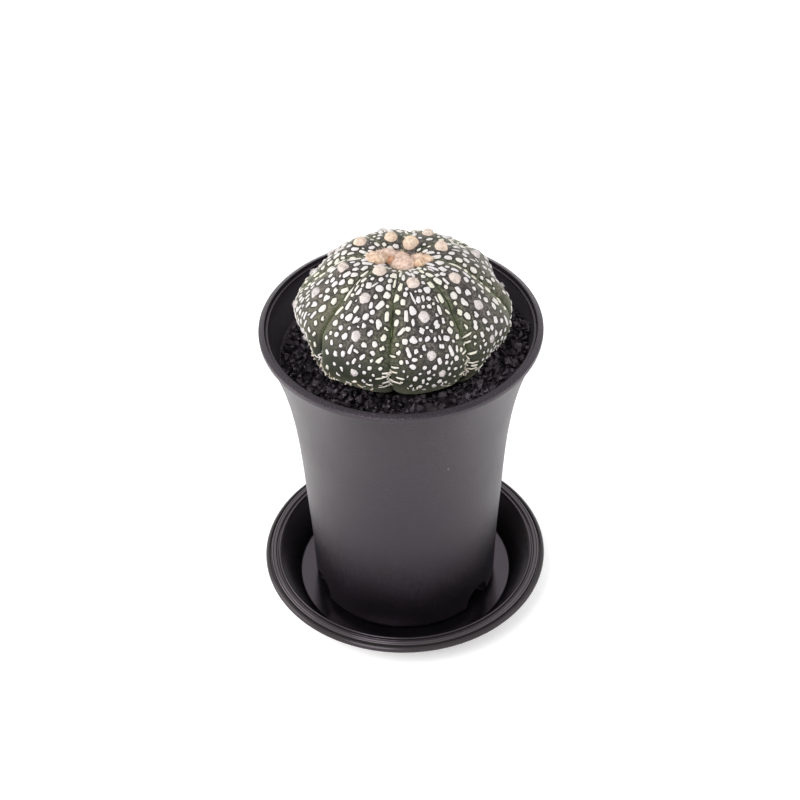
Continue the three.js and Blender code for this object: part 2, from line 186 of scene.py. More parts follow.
# Dry scales in the furrows
FLAKE_START = (43, 46)
FLAKE_END = 53
FLAKE_DEBRIS = 56
DEBRIS_RING = (49.5, 53.5)

# Wool on the growing point: place and size of each tuft in the body's frame, and how warm its tint is
WOOL_TUFTS = [
    ((0.7, -1.8), (8.2, 7.0, 5.4), 0.0),
    ((-0.6, 2.0), (6.0, 4.4, 4.2), 0.05),
    ((-4.6, 2.6), (7.2, 4.4, 4.4), 0.02),
    ((-3.6, 0.2), (3.6, 3.0, 3.6), 0.8),
    ((-7.9, -0.3), (6.4, 5.4, 4.2), 0.25),
    ((-5.4, 0.6), (3.6, 3.6, 4.0), 0.45),
    ((5.4, -0.2), (6.2, 4.4, 4.0), 0.15),
    ((5.7, -2.4), (4.8, 3.6, 3.4), 0.45),
    ((7.9, -1.0), (3.6, 2.8, 2.6), 0.25),
]
WOOL_STRANDS = 3000

# Black plastic mirrors white a little purple
PLASTIC_TINT = (1, 0.85, 0.98, 1)

# Camera: worked out from the ellipses of the lip and the saucer
IMAGE_WIDTH = 800
FOCAL_PIXELS = 2069.8
SENSOR_WIDTH = 36
CAMERA_TARGET = (-0.73, 0, 80.06)
CAMERA_DISTANCE = 674.8
CAMERA_ELEVATION = 41.258
CAMERA_ROLL = -1.115


# Meshes

def added_object(name, data):
    made = bpy.data.objects.new(name, data)
    bpy.context.scene.collection.objects.link(made)
    return made


def mesh_object(name, points, faces, material, slot=None, sharp_angle=None):
    """A piece from points in millimetres. Given a slot, it rides on the root body."""
    mesh = bpy.data.meshes.new(name)
    mesh.from_pydata((np.asarray(points, float) * MM).tolist(), [], faces)
    mesh.materials.append(material)
    mesh.shade_smooth()
    if sharp_angle is not None:
        mesh.set_sharp_from_angle(angle=math.radians(sharp_angle))
    piece = added_object(name, mesh)
    if slot is not None:
        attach(piece, "root")
    return piece


def bake_modifiers(piece):
    """Makes what the modifiers show the piece's own mesh."""
    graph = bpy.context.evaluated_depsgraph_get()
    mesh = bpy.data.meshes.new_from_object(piece.evaluated_get(graph))
    piece.modifiers.clear()
    piece.data = mesh


def set_attributes(piece, **attributes):
    for name, values in attributes.items():
        attribute = piece.data.attributes.new(name, "FLOAT", "POINT")
        attribute.data.foreach_set("value", np.asarray(values, np.float32))


def joined_parts(parts):
    """One list of points and one of faces from several (points, faces) pairs."""
    points, faces, start = [], [], 0
    for part_points, part_faces in parts:
        points.append(np.asarray(part_points, float))
        faces.extend(tuple(corner + start for corner in face) for face in part_faces)
        start += len(part_points)
    return np.concatenate(points), faces


def tinted_piece(name, parts, tints, material, slot="wool", sharp_angle=None):
    """A piece made of several parts, with a tint for each part or for each of its points."""
    piece = mesh_object(name, *joined_parts(parts), material, slot, sharp_angle)
    spread = [np.broadcast_to(tint, len(points)) for (points, _), tint in zip(parts, tints)]
    set_attributes(piece, tint=np.concatenate(spread))
    return piece


def around(azimuth, radius, height):
    """Points at those azimuths on a circle about the pot's axis."""
    angle = np.radians(azimuth)
    return np.stack([radius * np.sin(angle), -radius * np.cos(angle), height + 0 * angle], axis=-1)


def smoothstep(low, high, value):
    """0 below low, 1 above high, and a smooth rise between them."""
    t = np.clip((np.asarray(value, float) - low) / (high - low), 0, 1)
    return t * t * (3 - 2 * t)


def normalised(vectors):
    return vectors / np.maximum(np.linalg.norm(vectors, axis=-1, keepdims=True), 1e-9)


def noise_at(points, size, seed=0.0):
    """Smooth noise from about -1 to 1, with features of that size in millimetres."""
    return np.array([noise.noise(Vector(p) / size + Vector((seed, -seed, 2 * seed))) for p in points])


def rounded(profile, steps=4):
    """The profile with each corner that gives a third number cut back by it and rounded."""
    made = []
    for i, (radius, height, *cut) in enumerate(profile):
        here = np.array([radius, height], float)
        if not cut:
            made.append(here)
            continue
        before = np.array(profile[i - 1][:2], float)
        after = np.array(profile[(i + 1) % len(profile)][:2], float)
        ends = []
        for other in (before, after):
            length = np.linalg.norm(other - here)
            ends.append(here + (other - here) * min(cut[0], length * 0.48) / length)
        for t in np.linspace(0, 1, steps + 1):
            made.append((1 - t) ** 2 * ends[0] + 2 * t * (1 - t) * here + t ** 2 * ends[1])
    return made


def ring_faces(rings):
    """Faces between rings of point numbers. A ring of one number repeated is a pole."""
    faces = []
    for first, second in zip(rings, rings[1:]):
        for i in range(len(first)):
            j = (i + 1) % len(first)
            corners = tuple(dict.fromkeys((first[i], first[j], second[j], second[i])))
            if len(corners) > 2:
                faces.append(corners)
    return faces


def closed_faces(rings, start, end):
    """Faces of a closed surface from one pole to another. Each row of rings has one ring's numbers."""
    sides = rings.shape[1]
    return ring_faces([[start] * sides, *rings.tolist(), [end] * sides])


def tube_faces(count, sides):
    """Faces of a tube through that many rings of points, with flat ends."""
    rings = np.arange(count * sides).reshape(count, sides).tolist()
    return [tuple(rings[0][::-1]), tuple(rings[-1]), *ring_faces(rings)]


def turned(profile):
    """Points and faces of a turned body. Its profile starts and ends on the axis, or closes on itself."""
    azimuths = np.arange(TURNED_SEGMENTS) * 360 / TURNED_SEGMENTS
    points, rings = [], []
    for radius, height in profile:
        start = len(points)
        if radius < 1e-6:
            rings.append([start] * TURNED_SEGMENTS)
            points.append((0, 0, height))
        else:
            rings.append(list(range(start, start + TURNED_SEGMENTS)))
            points.extend(around(azimuths, radius, height))
    if profile[0][0] > 1e-6:
        rings.append(rings[0])
    return points, ring_faces(rings)


# Materials

def shader_socket(tree, name):
    return tree.nodes["Principled BSDF"].inputs[name]


def new_material(name, **sockets):
    """A material whose shader has these constant sockets, named with _ for a space, and its node tree."""
    material = bpy.data.materials.new(name)
    material.use_nodes = True
    tree = material.node_tree
    for socket, value in sockets.items():
        shader_socket(tree, socket.replace("_", " ")).default_value = value
    return material, tree


def add_node(tree, kind, inputs=None, **settings):
    """A node with these settings. An input is another node's output or a constant."""
    node = tree.nodes.new("ShaderNode" + kind)
    for name, value in settings.items():
        setattr(node, name, value)
    for name, value in (inputs or {}).items():
        if isinstance(value, bpy.types.NodeSocket):
            tree.links.new(value, node.inputs[name])
        else:
            node.inputs[name].default_value = value
    return node


def texture(tree, kind, size, **inputs):
    """A texture node with features of that size in millimetres."""
    place = add_node(tree, "TexCoord").outputs["Object"]
    return add_node(tree, kind, {"Vector": place, "Scale": 1 / (size * MM), **inputs})


def noise_of(tree, size, detail=3.0, roughness=0.55):
    """Noise from 0 to 1 with features of that size in millimetres."""
    return texture(tree, "TexNoise", size, Detail=detail, Roughness=roughness).outputs["Fac"]


def attribute_of(tree, name):
    return add_node(tree, "Attribute", attribute_name=name).outputs["Fac"]


def ranged(value, low, high, to_low=0.0, to_high=1.0):
    return add_node(value.id_data, "MapRange", {
        "Value": value, "From Min": low, "From Max": high, "To Min": to_low, "To Max": to_high,
    }, interpolation_type="SMOOTHSTEP").outputs["Result"]


def calculated(operation, first, second):
    return add_node(first.id_data, "Math", {0: first, 1: second}, operation=operation).outputs[0]


def ramp(value, stops):
    node = add_node(value.id_data, "ValToRGB", {"Fac": value})
    elements = node.color_ramp.elements
    while len(elements) < len(stops):
        elements.new(1.0)
    for element, (place, colour) in zip(elements, stops):
        element.position = place
        element.color = (*colour, 1)
    return node.outputs["Color"]


def mixed(share, first, second, blend_type="MIX"):
    """The first colour, another node's output, mixed with the second, a constant."""
    return add_node(share.id_data, "Mix", {0: share, 6: first, 7: (*second, 1)},
                    data_type="RGBA", blend_type=blend_type).outputs[2]


def finish_material(material, colour, roughness, bumps):
    """Links colour and roughness, and stacks (height, depth in millimetres) bumps."""
    tree = material.node_tree
    normal = {}
    for height, depth in bumps:
        bump = add_node(tree, "Bump", {"Height": height, "Distance": depth * MM, **normal})
        normal = {"Normal": bump.outputs["Normal"]}
    for socket, value in {"Base Color": colour, "Roughness": roughness, **normal}.items():
        tree.links.new(value, shader_socket(tree, socket))
    return material


def plastic(name, body, gloss, grain_depth, speckle, dust, worn):
    """Moulded black plastic: speckled grain, faint clouds, specks of dust, lighter and polished places."""
    material, tree = new_material(name, Specular_Tint=PLASTIC_TINT)
    clouds = noise_of(tree, 14, 4)
    grain = noise_of(tree, 0.5, 3, 0.75)
    speck = texture(tree, "TexVoronoi", dust)
    spot = ranged(speck.outputs["Distance"], 0.02, 0.045, 1, 0)
    lot = add_node(tree, "SeparateColor", {"Color": speck.outputs["Color"]}).outputs["Red"]
    chosen = ranged(lot, 0.7, 0.74)
    base = ramp(clouds, [(0.3, body[0]), (0.72, body[1])])
    # A lighter colour where a piece asks for it: painted light on the pot's inner wall, and lighter on the
    # pot's lip and the saucer's rim
    lightened_base = mixed(attribute_of(tree, "worn"), base, worn)
    grainy = calculated("MULTIPLY", ranged(grain, 0.52, 0.78, 0, speckle), attribute_of(tree, "grainy"))
    speckled = mixed(grainy, lightened_base, (0.12, 0.105, 0.1))
    dusty = mixed(calculated("MULTIPLY", spot, chosen), speckled, (0.16, 0.17, 0.2))
    rough = ranged(add_node(tree, "Mix", {0: 0.5, 2: clouds, 3: grain}).outputs[0], 0.25, 0.75, *gloss)
    polished = add_node(tree, "Mix", {0: attribute_of(tree, "polish"), 2: rough, 3: 0.16})
    return finish_material(material, dusty, polished.outputs[0], [(grain, grain_depth), (clouds, 0.05)])


def grit_material():
    """Crushed black lava: dark facets with fine pits, some glossy enough to catch the light."""
    material, tree = new_material("black_grit", Specular_IOR_Level=0.75, Specular_Tint=PLASTIC_TINT)
    tint = attribute_of(tree, "tint")
    pits = noise_of(tree, 0.35, 4, 0.7)
    shade = ramp(tint, [
        (0, (0.0016, 0.0013, 0.0018)), (0.5, (0.0135, 0.012, 0.015)), (1, (0.062, 0.055, 0.062)),
    ])
    dusty = mixed(ranged(pits, 0.54, 0.72, 0, 0.75), shade, (0.09, 0.082, 0.088))
    gloss = ranged(noise_of(tree, 1.8, 2), 0.4, 0.62, 0.2, 0.55)
    return finish_material(material, dusty, gloss, [(pits, 0.2)])


def skin_material():
    """Charcoal on the ribs, dull olive beside the furrows, and in each furrow a thin dark line of painted
    shade with green edges.
    """
    material, tree = new_material("cactus_skin", Specular_IOR_Level=0.22, Sheen_Weight=0.22,
                                  Sheen_Roughness=0.4, Sheen_Tint=(0.95, 1, 0.7, 1))
    across = attribute_of(tree, "across")
    down = attribute_of(tree, "down")
    crease = attribute_of(tree, "crease")
    patches = noise_of(tree, 5, 4, 0.6)
    fine = noise_of(tree, 0.95, 4, 0.75)
    wander = calculated("MULTIPLY", calculated("SUBTRACT", patches, 0.5), 0.7)
    low = ranged(down, 24, 50, 0, 0.3)
    green = calculated("ADD", calculated("ADD", across, wander), low)
    body = ramp(green, [
        (0.0, (0.07, 0.058, 0.061)), (0.42, (0.069, 0.061, 0.055)), (0.7, (0.071, 0.071, 0.047)),
        (0.92, (0.073, 0.08, 0.044)), (1.0, (0.075, 0.084, 0.044)),
    ])
    pale = mixed(ranged(fine, 0.5, 0.62, 0, 0.75), body, (0.17, 0.152, 0.128))
    pitted = mixed(ranged(fine, 0.38, 0.52, 0.8, 0), pale, (0.018, 0.0145, 0.015))
    # Painted light: the left flank paler, as if lit from the left
    flank_painted_light = mixed(attribute_of(tree, "flank"), pitted, (0.13, 0.114, 0.076))
    # Painted shade low on the body and on the front left
    shaded_low = mixed(attribute_of(tree, "shade"), flank_painted_light, (0.014, 0.0165, 0.0105))
    edge = calculated("MULTIPLY", ranged(crease, 0.4, 0.75, 0, 0.5), ranged(down, 14, 28, 0.15, 1))
    edged = mixed(edge, shaded_low, (0.06, 0.1, 0.016))
    # Painted shade: a thin dark line in the bottom of each furrow
    line = mixed(ranged(crease, 0.8, 0.97), edged, (0.006, 0.009, 0.003))
    aged = calculated("MULTIPLY", ranged(down, 48, 54), ranged(patches, 0.5, 0.7))
    corky = mixed(aged, line, (0.06, 0.043, 0.028))
    # Painted shade round the edge of each fleck
    shaded = mixed(attribute_of(tree, "rim"), corky, (0.012, 0.011, 0.01))
    gloss = ranged(fine, 0.3, 0.7, 0.46, 0.66)
    return finish_material(material, shaded, gloss, [(patches, 0.12), (fine, 0.08)])


def felt_material(name, stops, fuzz, felt_patches_and_shade=(0.74, 0.68, 0.66)):
    """Dry matted plant hair. A tint picks the colour from the stops, and the last colour darkens the felt
    in patches: its own mottling, and painted shade in its hollows.
    """
    material, tree = new_material(name, Specular_IOR_Level=0.2, Sheen_Weight=0.15, Sheen_Roughness=0.6)
    mat = noise_of(tree, fuzz, 5, 0.7)
    body = ramp(attribute_of(tree, "tint"), stops)
    # Darker patches: the felt's own mottling, and painted shade in its hollows
    matted = mixed(ranged(mat, 0.47, 0.66), body, felt_patches_and_shade, "MULTIPLY")
    return finish_material(material, matted, ranged(mat, 0.2, 0.8, 0.8, 0.98), [(mat, 0.14)])


# Pot and saucer

def pot_radius(height):
    straight = POT_FOOT_RADIUS + POT_TAPER * height + POT_FULLNESS * smoothstep(22, 48, height)
    return straight + POT_FLARE * (height / LIP_UNDERSIDE) ** POT_FLARE_POWER


def rim_profile(rim, radius, top):
    return [(radius - inwards, top - below, cut) for inwards, below, cut in rim]


def make_saucer(material):
    """The saucer. Its floor and the inner ridges of its rim mirror more than the rest."""
    tree = material.node_tree
    tree.links.new(attribute_of(tree, "shine"), shader_socket(tree, "Specular IOR Level"))
    wall_out = SAUCER_FLOOR_RADIUS + SAUCER_THICKNESS
    profile = rounded([
        (0, SAUCER_FOOT_HEIGHT),
        (SAUCER_FOOT_INNER, SAUCER_FOOT_HEIGHT, 0.3),
        (SAUCER_FOOT_INNER + 0.4, 0, 0.3),
        (SAUCER_FOOT_OUTER, 0, 0.6),
        (wall_out, 1.6, 0.9),
        (SAUCER_MOUTH_RADIUS + SAUCER_THICKNESS, SAUCER_TOP - 2.4, 0.5),
        *rim_profile(SAUCER_RIM, SAUCER_RADIUS, SAUCER_TOP),
        (SAUCER_MOUTH_RADIUS, SAUCER_TOP - 0.8, 0.3),
        (SAUCER_FLOOR_RADIUS + 0.6, SAUCER_FLOOR + 0.5, 0.6),
        (SAUCER_FLOOR_RADIUS, SAUCER_FLOOR, 0.4),
        (0, SAUCER_FLOOR),
    ], steps=5)
    points, faces = turned(profile)
    piece = mesh_object("saucer_body", points, faces, material, "saucer_plastic", 50)
    points = np.array(points)
    rim = smoothstep(SAUCER_TOP - 3.2, SAUCER_TOP - 2, points[:, 2])
    radius = np.hypot(points[:, 0], points[:, 1])
    ridge = smoothstep(SAUCER_RADIUS - 4, SAUCER_RADIUS - 3.6, radius)
    outer = smoothstep(SAUCER_RADIUS - 1.75, SAUCER_RADIUS - 1.55, radius)
    flat = 1 - smoothstep(SAUCER_FLOOR + 0.2, SAUCER_FLOOR + 1.5, points[:, 2])
    set_attributes(
        piece, worn=rim * (0.35 + 1.15 * ridge - 0.75 * outer), polish=0.7 * rim * (1 - outer),
        shine=0.2 + 0.6 * np.maximum(flat, rim * (1 - outer)), grainy=rim)
    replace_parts(piece, "saucer")


def notch_cutter(azimuth):
    """A low arch that goes in through the foot of the wall."""
    half = NOTCH_WIDTH / 2
    spring = NOTCH_TOP - NOTCH_ARCH
    arch = np.linspace(0, math.pi, 25)
    outline = [(-half, 0), (half, 0)]
    outline += [(half * math.cos(a), spring + NOTCH_ARCH * math.sin(a)) for a in arch]
    reaches = (POT_FOOT_RADIUS - NOTCH_DEPTH, POT_FOOT_RADIUS + NOTCH_DEPTH)
    turn = Matrix.Rotation(math.radians(azimuth), 3, "Z")
    points = [turn @ Vector((x, -reach, z)) for reach in reaches for x, z in outline]
    count = len(outline)
    inner, outer = list(range(count)), list(range(count, 2 * count))
    faces = ring_faces([outer, inner]) + [tuple(reversed(inner)), tuple(outer)]
    return mesh_object(f"cutter_{azimuth:.0f}", points, faces, bpy.data.materials.new("cutter"))


def make_pot(material):
    corner_height = SAUCER_FLOOR + POT_CORNER_RADIUS
    corner_radius = pot_radius(corner_height) - POT_CORNER_RADIUS
    bottom = SAUCER_FLOOR + POT_BOTTOM_LIFT
    corner = [(corner_radius + POT_CORNER_RADIUS * math.cos(a),
               corner_height + POT_CORNER_RADIUS * math.sin(a)) for a in np.linspace(-math.pi / 2, 0, 13)]
    heights = np.linspace(corner_height + 1.5, LIP_UNDERSIDE, 46)
    outside = [(pot_radius(h), h) for h in heights]
    inside = [(pot_radius(h) - POT_WALL, h) for h in np.linspace(LIP_UNDERSIDE - 1, POT_FLOOR + 2, 30)]
    profile = rounded([
        (DRAIN_HOLE_RADIUS, bottom, 0.3),
        (corner_radius - POT_FOOT_WIDTH, bottom, 0.3),
        (corner_radius - POT_FOOT_WIDTH + 0.6, SAUCER_FLOOR, 0.3),
        *corner,
        *outside,
        *rim_profile(POT_LIP, LIP_RADIUS, POT_TOP),
        (LIP_RADIUS - LIP_WIDTH, POT_TOP - 1.2, 0.4),
        *inside,
        (pot_radius(POT_FLOOR) - POT_WALL - 1.5, POT_FLOOR, 0.8),
        (DRAIN_HOLE_RADIUS, POT_FLOOR, 0.3),
    ])
    pot = mesh_object("pot_body", *turned(profile), material, "pot_plastic")
    cutters = [notch_cutter(NOTCH_AZIMUTH + 360 / NOTCH_COUNT * i) for i in range(NOTCH_COUNT)]
    for cutter in cutters:
        cut = pot.modifiers.new("notch", "BOOLEAN")
        cut.operation = "DIFFERENCE"
        cut.solver = "EXACT"
        cut.object = cutter
    bake_modifiers(pot)
    for cutter in cutters:
        bpy.data.objects.remove(cutter)
    pot.data.set_sharp_from_angle(angle=math.radians(40))
    points = np.array([v.co for v in pot.data.vertices]) / MM
    radius = np.hypot(points[:, 0], points[:, 1])
    inner = (radius < pot_radius(points[:, 2]) - POT_WALL / 2) & (points[:, 2] < POT_TOP - 1.5)
    lip = smoothstep(POT_TOP - 1.6, POT_TOP - 0.8, points[:, 2])
    grainy = smoothstep(30, 80, points[:, 2])
    # Painted light: the inner wall lighter, as if lit from above. The lip is a little lighter too
    set_attributes(pot, worn=np.maximum(inner, 0.15 * lip), polish=lip, grainy=grainy)
    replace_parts(pot, "pot")


# Skin of the cactus

def spline(points, per_span=60):
    """The smooth line through the points, as the built model draws it."""
    control = np.array(points, float)
    last = len(control) - 1
    made = []
    for i in range(last):
        before, after = control[max(i - 1, 0)], control[min(i + 2, last)]
        start, end = control[i], control[i + 1]
        leave, arrive = (end - before) / 2, (after - start) / 2
        t = np.linspace(0, 1, per_span, endpoint=False)[:, None]
        made.append((2 * start - 2 * end + leave + arrive) * t ** 3
                    + (-3 * start + 3 * end - 2 * leave - arrive) * t ** 2 + leave * t + start)
    return np.concatenate([*made, control[-1:]])


MERIDIAN = spline(BODY_PROFILE)
MERIDIAN_AT = np.concatenate([[0], np.cumsum(np.linalg.norm(np.diff(MERIDIAN, axis=0), axis=1))])
MERIDIAN_TANGENT = np.gradient(MERIDIAN, MERIDIAN_AT, axis=0)
PLANT_TURN = np.array(Matrix.Rotation(-math.radians(PLANT_LEAN), 3, "X"))


def along_meridian(table, distance):
    return np.stack([np.interp(distance, MERIDIAN_AT, table[:, i]) for i in range(2)], axis=-1)


def radius_at(distance):
    return along_meridian(MERIDIAN, distance)[..., 0]


def turn_across(distance, across):
    """Degrees round the body for a way across its skin in millimetres."""
    return np.degrees(across / max(radius_at(distance), 3))


def half_turns(azimuth):
    """The same azimuth between -180 and 180."""
    return np.mod(azimuth + 180, 360) - 180


def off_ridge(azimuth):
    """From -1 to 1 across a rib: 0 on its ridge, 1 in the furrow."""
    half = RIB_PITCH / 2
    return (np.mod(azimuth - FIRST_RIB_AZIMUTH + half, RIB_PITCH) - half) / half


def past_furrow(distance, azimuth):
    """Signed way across the skin from the furrow's line, which wanders a little, in millimetres."""
    turns = (azimuth - FIRST_RIB_AZIMUTH) / RIB_PITCH - 0.5
    furrow = np.round(turns)
    wander = 0.7 * np.sin(distance / 3.1 + 2 * furrow) + 0.3 * np.sin(distance / 1.2 + 5 * furrow)
    return (turns - furrow) * np.radians(RIB_PITCH) * radius_at(distance) - CREASE_WANDER * wander


def crease_share(distance, azimuth):
    """1 in the bottom of a furrow, 0 a short way off it."""
    sharp = np.exp(-((past_furrow(distance, azimuth) / CREASE_WIDTH) ** 2))
    return sharp * smoothstep(CREASE_START, CREASE_START + 6, distance)


def hump(value, middle, reach):
    return np.exp(-((value - middle) / reach) ** 2)


def lopsided(distance, azimuth):
    """How far the body bulges or draws in at a place, as grown."""
    turn = half_turns(azimuth)
    return sum(rise * hump(distance, down, down_reach) * hump(turn, middle, turn_reach)
               for rise, down, down_reach, middle, turn_reach in SWELLS)


def skin_base(distance, azimuth):
    """The ribbed skin in the body's frame, before its fine swell."""
    place = along_meridian(MERIDIAN, distance)
    tangent = along_meridian(MERIDIAN_TANGENT, distance)
    radius = np.maximum(place[..., 0], 0)
    furrow = FURROW_DEPTH * (radius / WIDEST) ** FURROW_FADE * np.abs(off_ridge(azimuth)) ** RIB_FULLNESS
    crease = CREASE_DEPTH * crease_share(distance, azimuth) * smoothstep(12, 32, distance)
    sink = furrow + crease - lopsided(distance, azimuth)
    height = place[..., 1] - tangent[..., 0] * sink
    return around(azimuth, np.maximum(radius + tangent[..., 1] * sink, 0), height)


def skin_at(distance, azimuth, rise=0.0):
    """Points that far above the skin, in the body's frame, and the directions down, across and out."""
    distance, azimuth = np.broadcast_arrays(np.asarray(distance, float), np.asarray(azimuth, float))
    step = 0.15
    here = skin_base(distance, azimuth)
    turn = np.degrees(step / np.maximum(np.hypot(here[..., 0], here[..., 1]), 0.5))
    down = skin_base(distance + step, azimuth) - skin_base(distance - step, azimuth)
    across = skin_base(distance, azimuth + turn) - skin_base(distance, azimuth - turn)
    directions = [normalised(v) for v in (down, across, np.cross(down, across))]
    return here + directions[2] * np.asarray(rise)[..., None], directions


def placed(points):
    """From the body's frame to the pot's."""
    return np.asarray(points) @ PLANT_TURN.T + PLANT_CENTRE


def areole_places():
    return [(distance, FIRST_RIB_AZIMUTH + RIB_PITCH * rib + off, width)
            for rib, pads in enumerate(AREOLES) for distance, off, width in pads]


def left_ridge(distance, azimuth):
    """1 on the left rib where the flecks crowd in narrow strokes, 0 elsewhere."""
    return hump(distance, 42, 14) * hump(azimuth, -80, 16)


def worn_side(distance, azimuth):
    """1 low on the front left, where few flecks are left and the skin gets painted shade, 0 elsewhere."""
    return hump(distance, 52, 13) * hump(azimuth, -46, 20)


def make_skin(material, flecks, areoles):
    last = MERIDIAN_AT[-1]
    buried = np.linspace(SKIN_SEEN, last - 2, 14)
    distances = np.concatenate([np.arange(SKIN_ROW, SKIN_SEEN, SKIN_ROW), buried])
    t = np.arange(SKIN_COLUMNS) / SKIN_COLUMNS * 2 - 1
    closer_at_furrow = 0.45 * t + 0.55 * np.sin(np.pi / 2 * t)
    azimuths = np.concatenate([FIRST_RIB_AZIMUTH + RIB_PITCH * (rib + closer_at_furrow / 2)
                               for rib in range(RIB_COUNT)])
    down, across = np.meshgrid(distances, azimuths, indexing="ij")
    points, (_, _, out) = skin_at(down, across)
    flat, out = points.reshape(-1, 3), out.reshape(-1, 3)
    swell = 0.16 * noise_at(flat, 6.5, 3.1) + 0.05 * noise_at(flat, 1.6, 9.4)
    for distance, azimuth, width in areoles:
        middle = skin_at(distance, azimuth)[0]
        swell += 0.3 * np.exp(-np.sum((flat - middle) ** 2, axis=1) / (0.8 * width) ** 2)
    flat = flat + out * (swell * smoothstep(2, 8, down.reshape(-1)))[:, None]
    rings = np.arange(down.size).reshape(down.shape)
    faces = closed_faces(rings[::-1], down.size + 1, down.size)
    points = placed(np.vstack([flat, skin_base(0.0, 0.0), skin_base(last, 0.0)]))
    piece = mesh_object("cactus_body", points, faces, material, "cactus_skin")
    down, across = down.reshape(-1), across.reshape(-1)
    turn = half_turns(across)
    # Painted shade: darker low on the body, where less light reaches it, and on the bare front left
    shade = 0.88 * smoothstep(31, 49, down) + 0.6 * worn_side(down, turn)
    looks = {
        "across": np.abs(off_ridge(across)),
        "shade": shade.clip(0, 1),
        # Where the left flank gets painted light
        "flank": 0.55 * hump(down, 38, 13) * hump(turn, -62, 15),
        "crease": crease_share(down, across),
        "rim": fleck_rims(down, across, flecks),
    }
    set_attributes(piece, **{name: np.append(values, [0, 0]) for name, values in looks.items()})
    set_attributes(piece, down=np.append(down, [0, last]))
    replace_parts(piece, "cactus")


# Felt flecks

def drawn_fleck(kind, random):
    widths, lengths, turn, form = kind
    return random.uniform(*widths), random.uniform(*lengths), random.normal(0, turn), form


def fleck_kind(distance, azimuth, beside, random):
    """Width, length, turn and form of a fleck that may stand at this place."""
    draw = random.random()
    if distance < CROWN_REACH and draw < 0.6:
        return drawn_fleck(LONG_STROKE if draw < 0.2 else BLOCK, random)
    if beside < 4.5 and distance > 30 and azimuth > BAR_AZIMUTHS[0] and draw < 0.1:
        return drawn_fleck(BAR, random)
    if left_ridge(distance, azimuth) > 0.4:
        return drawn_fleck(NARROW_STROKE, random)
    if draw < 0.14:
        return drawn_fleck(STROKE, random)
    widths, stretches, turn, form = CLUSTER if draw < 0.62 else DOT
    width = random.uniform(*widths) * (1 - 0.3 * smoothstep(32, 46, distance))
    return width, width * random.uniform(*stretches), random.normal(0, turn), form


def bare_strip(distance, azimuth, random):
    """How near a furrow's line a fleck may come. One in six may come nearer."""
    reach = BARE_STRIP * smoothstep(24, 40, distance) * random.choice([1, 1, 1, 1, 1, 0.3])
    reach += BARE_STRIP_LOW * smoothstep(40, 48, distance)
    return reach * (1.3 if azimuth > 45 or azimuth < -100 else 1)


def fleck_gap(distance, azimuth, form, random):
    """How far a fleck keeps from the others: further low down, on the bare front left and on the flanks."""
    spread = random.uniform(0.65, 1.4)
    crowded = left_ridge(distance, azimuth)
    gap = spread * (0.07 + 0.26 * (smoothstep(12, 30, distance) + 1.9 * smoothstep(38, 50, distance)))
    gap += 2 * spread * worn_side(distance, azimuth)
    if form == "bar":
        gap = BAR_GAP * spread
    flank = smoothstep(50, 75, abs(azimuth)) * smoothstep(26, 34, distance) * (1 - crowded)
    return gap * (1 - 0.6 * crowded) + 0.35 * spread * flank


def place_flecks(areoles, random):
    """Strews flecks clear of each other, of the pads and of the furrow's line, large ones first."""
    kept = []
    taken = [(distance, azimuth, width + 0.2, width + 0.2) for distance, azimuth, width in areoles]
    for attempt in range(FLECK_TRIES):
        distance = FLECK_START + (FLECK_END - FLECK_START) * random.random() ** 0.8
        azimuth = random.uniform(-180, 180)
        beside = abs(past_furrow(distance, azimuth))
        width, length, turn, form = fleck_kind(distance, azimuth, beside, random)
        if form != "bar":
            smaller = 1.1 - 0.5 * attempt / FLECK_TRIES
            width, length = width * smaller, length * smaller
        bare = bare_strip(distance, azimuth, random)
        if form != "bar" and distance > 11 and beside < width / 2 + 0.2 + bare:
            continue
        gap = fleck_gap(distance, azimuth, form, random)
        near = np.array(taken)
        ds = near[:, 0] - distance
        dx = np.radians(half_turns(near[:, 1] - azimuth)) * radius_at(distance)
        room = (dx / ((near[:, 2] + width) / 2 + gap)) ** 2 + (ds / ((near[:, 3] + length) / 2 + gap)) ** 2
        if room.min() < 1 or (form == "bar" and azimuth > BAR_AZIMUTHS[1]):
            continue
        taken.append((distance, azimuth, width, length))
        kept.append((distance, azimuth, width, length, turn, form))
    return kept


def fleck_rims(distance, azimuth, flecks):
    """How near each point of the skin is to the edge of a fleck, where the skin gets painted shade: 1 at
    it, 0 a short way off.
    """
    rim = np.zeros(len(distance))
    radius = radius_at(distance)
    for at, turned_to, width, length, turn, _ in flecks:
        near = np.flatnonzero(np.abs(distance - at) < 3.6)
        dx = np.radians(half_turns(azimuth[near] - turned_to)) * radius[near]
        ds = distance[near] - at
        c, s = math.cos(math.radians(turn)), math.sin(math.radians(turn))
        u, v = dx * c + ds * s, ds * c - dx * s
        reach = np.hypot(u / (width / 2 + 0.28), v / (length / 2 + 0.28))
        rim[near] = np.maximum(rim[near], 0.8 * (1 - smoothstep(0.95, 1.2, reach)))
    return rim


